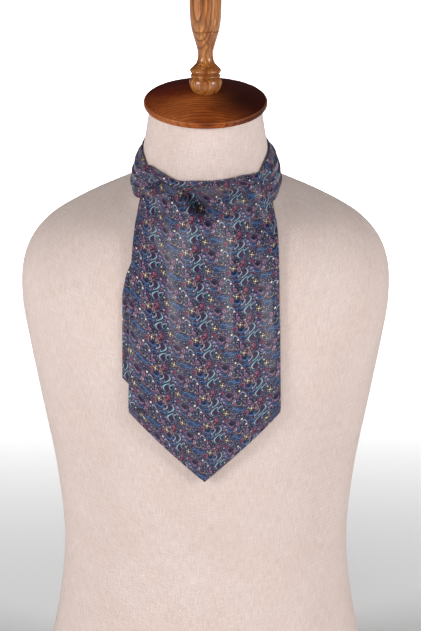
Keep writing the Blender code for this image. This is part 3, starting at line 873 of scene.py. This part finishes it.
band = dict(
    wall=1.3, material=silk, nodes=["cravat_band"], slot="band_silk", around=288, down=56,
    printTurn=8.0, printShift=(3.0, 11.0),
    columns="degrees drop height lift puff",
    rows=(
        (-180, 0.0, 37, 0.0, 2.4),
        (-150, 0.0, 38, 0.0, 2.6),
        (-120, 0.0, 40, 0.0, 2.8),
        (-96, 0.0, 43, 0.2, 3.4),
        (-82, 0.0, 43, 0.9, 4.2),
        (-72, 1.0, 41, 1.6, 3.6),
        (-62, 4.8, 34, 2.0, 0.4),
        (-44, 6.0, 31, 2.0, 0.2),
        (-24, 9.4, 24.8, 2.0, 0.1),
        (0, 6.0, 28, 2.0, 0.1),
        (24, 5.4, 28.5, 2.0, 0.1),
        (44, 8.4, 28.5, 2.0, 0.3),
        (54, 7.6, 31, 2.0, 1.2),
        (63, 2.2, 39.5, 1.7, 4.8),
        (74, 0.0, 43, 0.9, 5.8),
        (92, 0.0, 43, 0.4, 5.6),
        (120, 0.0, 40, 0.0, 4.2),
        (150, 0.0, 38, 0.0, 2.8),
        (180, 0.0, 37, 0.0, 2.4),
    ),
    standColumns="down stand",
    stand=((0.0, 0.0), (0.05, 0.20), (0.15, 0.42), (0.30, 0.70), (0.45, 0.94), (0.62, 1.02), (0.76, 1.0),
           (0.9, 0.82), (1.0, 0.58)),
    # each pleat's lip: place down the band, depth in millimetres, sharpness as a share of the height
    lips=((0.24, 2.1, 0.03), (0.47, 1.9, 0.026), (0.72, 1.7, 0.026)),
    lipFall=0.95, lipRun=0.24,
    climbFrom=82.0, climbTo=40.0, climb=0.34,
    clearance=0.6, fullPuff=3.2, mostFull=1.25, waveHeight=0.55, waveRound=2.6, waveDown=1.4,
)


def bandRows():
    return namedRows(band["columns"], band["rows"]), namedRows(band["standColumns"], band["stand"])


def bandPoint(degrees, down, rows, standRows):
    keys = ("drop", "height", "lift", "puff")
    drop, height, lift, puff = [readRows(rows, "degrees", degrees, key) for key in keys]
    angle = math.radians(degrees)
    steep = clamp((band["climbFrom"] - abs(degrees)) / (band["climbFrom"] - band["climbTo"]))
    climb = 1 + band["climb"] * steep
    least = band["wall"] + band["clearance"] + lift
    full = clamp(puff / band["fullPuff"], 0.0, band["mostFull"])
    off = least + puff * readRows(standRows, "down", down, "stand")
    for place, depth, sharp in band["lips"]:
        fall = band["lipFall"] * easeBetween(place, place + band["lipRun"], down)
        off += full * depth * (easeBetween(place - sharp, place + sharp, down) - fall)
    around = band["waveRound"]
    wave = noise.noise(Vector((math.sin(angle) * around, math.cos(angle) * around, down * band["waveDown"])))
    off += full * band["waveHeight"] * wave * easeBetween(0.0, 0.2, down)
    spot = neckPoint(angle, ringDistance(angle, drop) + height * down ** climb, off)
    return clearOf(formTree, spot, least)


def makeBand():
    rows, standRows = bandRows()
    grid = []
    for k in range(band["around"]):
        degrees = -180 + 360 * k / band["around"]
        downs = [c / band["down"] for c in range(band["down"] + 1)]
        grid.append([bandPoint(degrees, down, rows, standRows) for down in downs])
    return clothShell("cravatBand", grid, band, closed=True, side=-1)


# threads that hold the pleats

stitch = dict(
    material=thread, nodes=["cravat_band"], slot="band_silk",
    degrees=(180.0, -106.0, 104.0), count=6, step=1.7, slant=0.5, reach=0.075,
    radius=0.26, lift=0.3, crown=0.5, sides=8,
    shape=((0.0, 0.15), (0.10, 0.75), (0.30, 1.0), (0.70, 1.0), (0.90, 0.75), (1.0, 0.15)),
)


def makeStitches():
    rows, standRows = bandRows()
    sides, points, faces = stitch["sides"], [], []

    def onBand(degrees, down):
        return bandPoint((degrees + 180) % 360 - 180, down, rows, standRows)

    for degrees in stitch["degrees"]:
        for place in [lip[0] for lip in band["lips"]]:
            for k in range(stitch["count"]):
                turned = degrees + (k - (stitch["count"] - 1) / 2) * stitch["step"]
                tight = stitch["reach"] * (0.9 + 0.2 * noise.noise(Vector((turned, place * 9, 0.0))))
                top = onBand(turned, place - tight * 0.5)
                foot = onBand(turned + stitch["slant"], place + tight * 0.5)
                out = Vector((top.x, top.y - neck["topY"], 0.0)).normalized()
                along = (foot - top).normalized()
                side = along.cross(out).normalized()
                face = side.cross(along)
                first = len(points)
                for share, thick in stitch["shape"]:
                    rise = stitch["lift"] + stitch["crown"] * math.sin(math.pi * share)
                    middle = top.lerp(foot, share) + out * rise
                    for q in range(sides):
                        turn, r = 2 * math.pi * q / sides, stitch["radius"] * thick
                        points.append(middle + side * (math.cos(turn) * r) + face * (math.sin(turn) * r))
                last = first + sides * (len(stitch["shape"]) - 1)
                for start in range(first, last, sides):
                    for q in range(sides):
                        n = (q + 1) % sides
                        faces.append((start + q, start + q + sides, start + n + sides, start + n))
                faces.append(tuple(range(first, first + sides)))
                faces.append(tuple(reversed(range(last, last + sides))))
    return meshPiece("bandStitches", points, faces, None, stitch["material"], stitch["nodes"], stitch["slot"])


# the front blade

blade = dict(
    wall=1.3, material=silk, nodes=["cravat_front_blade"], slot="blade_silk", across=112,
    printTurn=7.5, printShift=(-22.7, 13.0),
    # clearance from the form: at the turned edge, over the neckband, and more over the band's puffed ends
    leastGap=1.9, gap=5.5, endGap=3.0, endFromX=45.0, endToX=53.0, endFromZ=530.0, endToZ=540.0, foldGap=0.4,
    # rows of mesh in each stretch: the fold, just below it, and the rest
    foldSteps=4, topSteps=(5, 6, 6, 7, 8), downSteps=9,
    ripple=1.4, rippleAcross=0.035, rippleDown=0.014,
    foldColumns="drop off halfSpan turned",
    foldRows=(
        (18.0, 0.5, 46.0, -1.0),
        (10.0, 0.5, 49.0, -2.0),
        (4.0, 0.6, 51.4, -3.0),
        (1.0, 1.5, 52.4, -3.4),
        (0.0, 3.8, 53.0, -3.6),
        (0.8, 7.0, 53.6, -3.6),
        (3.8, 10.8, 54.4, -3.8),
    ),
    columns="middleZ frontY halfWidth depth rise turn centreX",
    rows=(
        (554.8, -76.8, 56.6, 34.4, 7.6, 59, 2.4),
        (547.4, -83.4, 61.8, 44.4, 6.6, 67, 1.2),
        (537.8, -88.0, 66.2, 50.6, 5.4, 72, 0.6),
        (525.0, -90.0, 69.2, 48.0, 3.6, 70, 0.5),
        (510.0, -92.4, 71.2, 35.0, 3.0, 62, 0.5),
        (492.0, -95.6, 72.6, 21.0, 3.0, 50, 0.0),
        (470.0, -104.0, 73.6, 15.0, 2.6, 42, -0.5),
        (445.0, -113.4, 74.4, 13.0, 2.0, 38, -1.0),
        (415.0, -121.4, 75.0, 12.0, 1.4, 36, -1.0),
        (380.0, -125.6, 75.4, 11.5, 0.8, 36, -1.0),
        (345.0, -126.4, 75.6, 11.5, 0.4, 36, -1.0),
    ),
    pointZ=266.0, shoulderZ=338.0, pointSteps=(0.16, 0.36, 0.58, 0.79, 1.0),
    # where the turned edge sinks
    sagColumns="at reach drop",
    sags=((-28, 12, 3.0), (50, 9, 4.2)),
    creaseColumns="fromX fromZ toX toZ width height fade",
    creases=(
        (-31, 571, -5, 540, 7.4, -26.0, 1.2),
        (-47, 566, -24, 540, 7.0, 9.0, 1.3),
        (-13, 571, 14, 546, 9.0, 10.0, 1.3),
        (8, 551, 40, 549, 11.0, 8.0, 1.3),
        (-14, 564, 46, 566, 3.4, -17.0, 1.5),
        (-53, 572, -30, 565, 2.6, 9.0, 1.2),
        (-51, 565, -36, 560, 3.2, -15.0, 1.2),
        (-57, 557, -44, 562, 3.4, -14.0, 1.2),
        (-57, 550, -38, 556, 4.4, 6.5, 1.3),
        (-44, 548, -34, 536, 8.0, 7.0, 1.3),
        (-60, 545, -50, 534, 4.6, -6.0, 1.3),
        (-36, 530, -46, 508, 11.0, 4.0, 1.3),
        (46, 552, 58, 520, 6.0, -8.0, 1.6),
        (8, 533, 34, 524, 9.0, -4.0, 1.4),
        (-48, 508, -33, 330, 9.0, -6.0, 1.6),
        (-10, 518, -5, 300, 15.0, 5.0, 1.6),
        (27, 516, 38, 350, 10.0, -5.6, 1.6),
        (54, 505, 57, 375, 9.0, 3.4, 1.6),
    ),
)


def makeFrontBlade():
    steps = [-1 + 2 * c / blade["across"] for c in range(blade["across"] + 1)]
    sags = namedRows(blade["sagColumns"], blade["sags"])
    coarse = []
    for row in namedRows(blade["foldColumns"], blade["foldRows"]):
        line = []
        for across in steps:
            angle = math.radians(row["turned"] + row["halfSpan"] * across)
            x = neckPoint(angle, ringDistance(angle), row["off"]).x
            sunk = sum(sag["drop"] * math.exp(-((x - sag["at"]) / sag["reach"]) ** 2) for sag in sags)
            drop = row["drop"] + sunk
            spot = neckPoint(angle, ringDistance(angle, drop), row["off"])
            line.append(clearOf(formTree, spot, blade["foldGap"]))
        coarse.append(line)
    rows = namedRows(blade["columns"], blade["rows"])

    def arcPoint(row, across):
        turn = math.radians(row["turn"])
        share = (1 - math.cos(across * turn)) / (1 - math.cos(turn))
        x = row["centreX"] + row["halfWidth"] * math.sin(across * turn) / math.sin(turn)
        return Vector((x, row["frontY"] + row["depth"] * share, row["middleZ"] + row["rise"] * share))

    coarse += [[arcPoint(row, across) for across in steps] for row in rows]
    last = rows[-1]
    for drop in blade["pointSteps"]:
        line = []
        for across in steps:
            p = arcPoint(last, across)
            p.z = mix(last["middleZ"], mix(blade["pointZ"], blade["shoulderZ"], abs(across)), drop)
            front = formFront(formTree, p.x, p.z) - blade["gap"] - 1.0
            line.append(Vector((p.x, mix(p.y, front, min(drop * 1.2, 1.0)), p.z)))
        coarse.append(line)
    folds = len(blade["foldRows"])
    gaps = [blade["foldSteps"]] * (folds - 1) + list(blade["topSteps"])
    gaps += [blade["downSteps"]] * (len(coarse) - 1 - len(gaps))
    grid = smoothGrid(coarse, gaps)
    start = sum(gaps[:folds - 1])
    creases = namedRows(blade["creaseColumns"], blade["creases"])
    plain = [list(line) for line in grid]
    for r, line in enumerate(grid):
        settled = easeBetween(start - 3, start + 9, r)
        if settled <= 0:
            continue
        for c, p in enumerate(line):
            lift = foldHeight(creases, p.x, p.z)
            ripple = Vector((p.x * blade["rippleAcross"], p.z * blade["rippleDown"], 3.0))
            lift += blade["ripple"] * noise.noise(ripple)
            q = Vector((p.x, p.y - lift * settled, p.z))
            if r > start:
                gap = mix(blade["leastGap"], blade["gap"], easeBetween(start, start + 3, r))
                end = easeBetween(blade["endFromX"], blade["endToX"], abs(p.x))
                gap += blade["endGap"] * end * easeBetween(blade["endFromZ"], blade["endToZ"], p.z)
                q = clearOf(formTree, q, gap)
            line[c] = q
    return clothShell("cravatFrontBlade", grid, blade, plain=plain)


# the under blade

under = dict(
    wall=1.2, material=silk, nodes=["cravat_under_blade"], slot="under_silk", across=72, down=90,
    printTurn=3.0, printShift=(9.0, 4.0),
    gap=1.0, topZ=521.0, shoulderZ=372.0, pointZ=302.0, halfTop=52.0, half=71.0, centreX=-11.5,
    widenBy=2.2, widenEase=0.7, shiftBy=3.0,
)


def makeUnderBlade():
    grid = []
    for r in range(under["down"] + 1):
        down, line = r / under["down"], []
        for c in range(under["across"] + 1):
            across = -1 + 2 * c / under["across"]
            wide = min(down * under["widenBy"], 1.0) ** under["widenEase"]
            half = mix(under["halfTop"], under["half"], wide)
            x = under["centreX"] * min(down * under["shiftBy"], 1.0) + half * across
            z = mix(under["topZ"], mix(under["pointZ"], under["shoulderZ"], abs(across)), down)
            spot = Vector((x, formFront(formTree, x, z), z))
            line.append(clearOf(formTree, spot, under["gap"] + under["wall"]))
        grid.append(line)
    return clothShell("cravatUnderBlade", grid, under)


print("cravat: cloth")
cravatBand = makeBand()
makeStitches()
cravatFrontBlade = makeFrontBlade()
cravatUnderBlade = makeUnderBlade()

# the studio

studio = dict(
    floorDark=(0.93, 0.93, 0.93), floorLight=(0.95, 0.95, 0.95), backdrop=1.02, ambient=0.25, mirrored=0.05,
    floorHalf=14.0,
    lights=(
        # name, place, aim, size, watts, spread in degrees
        ("keyLeft", (-2.5, -1.8, 1.3), (0, 0, 0.5), 0.8, 59.0, 180),
        ("keyRight", (2.6, -1.7, 1.2), (0, 0, 0.5), 0.8, 56.0, 180),
        ("front", (-0.3, -3.2, 1.1), (0, 0, 0.45), 0.7, 18.0, 180),
        ("sweep", (0.0, 3.4, 3.0), (0, 3.4, 0.0), 3.6, 110.0, 60),
    ),
    cameraAim=(0.005, -0.105, 0.435), cameraDown=12.6, cameraAway=4.5, lens=257.0,
)


def makeStudio():
    # the backdrop is white to look at and softer as a light
    world = bpy.data.worlds.new("studio")
    world.use_nodes = True
    tree = world.node_tree
    path = addNode(tree, "ShaderNodeLightPath").outputs
    tree.nodes["Background"].inputs[0].default_value = (1.0, 1.0, 1.0, 1.0)
    strength = studio["ambient"]
    for ray, level in (("Is Camera Ray", studio["backdrop"]), ("Is Glossy Ray", studio["mirrored"])):
        strength = calc(tree, "MULTIPLY_ADD", path[ray], level - studio["ambient"], strength)
    tree.links.new(strength, tree.nodes["Background"].inputs[1])
    scene.world = world
    mesh = bpy.data.meshes.new("floor")
    half = studio["floorHalf"]
    corners = [(-half, -half, 0), (half, -half, 0), (half, half, 0), (-half, half, 0)]
    mesh.from_pydata(corners, [], [(0, 1, 2, 3)])
    floor = bpy.data.objects.new("floor", mesh)
    scene.collection.objects.link(floor)
    material, tree, shader = newMaterial("pale floor")
    place = addNode(tree, "ShaderNodeTexCoord").outputs["Object"]
    tone = noiseOf(tree, place, 0.6, 2.0)
    color = mixColor(tree, tone, studio["floorDark"], studio["floorLight"])
    tree.links.new(color, shader.inputs["Base Color"])
    shader.inputs["Roughness"].default_value = 0.9
    mesh.materials.append(material)
    for name, place, aim, size, watts, spread in studio["lights"]:
        light = bpy.data.lights.new(name, "AREA")
        light.size, light.energy, light.spread = size, watts, math.radians(spread)
        lamp = bpy.data.objects.new(name, light)
        lamp.location = place
        lamp.rotation_euler = (Vector(aim) - Vector(place)).to_track_quat("-Z", "Y").to_euler()
        lamp.visible_glossy = name.startswith("key")
        scene.collection.objects.link(lamp)
    camera = bpy.data.objects.new("camera", bpy.data.cameras.new("camera"))
    scene.collection.objects.link(camera)
    camera.data.lens, camera.data.sensor_width = studio["lens"], 36.0
    camera.data.clip_end = 60.0
    down = math.radians(studio["cameraDown"])
    back = Vector((0, -math.cos(down), math.sin(down)))
    camera.location = Vector(studio["cameraAim"]) + back * studio["cameraAway"]
    camera.rotation_euler = (math.pi / 2 - down, 0, 0)
    scene.camera = camera


print("cravat: studio")
makeStudio()
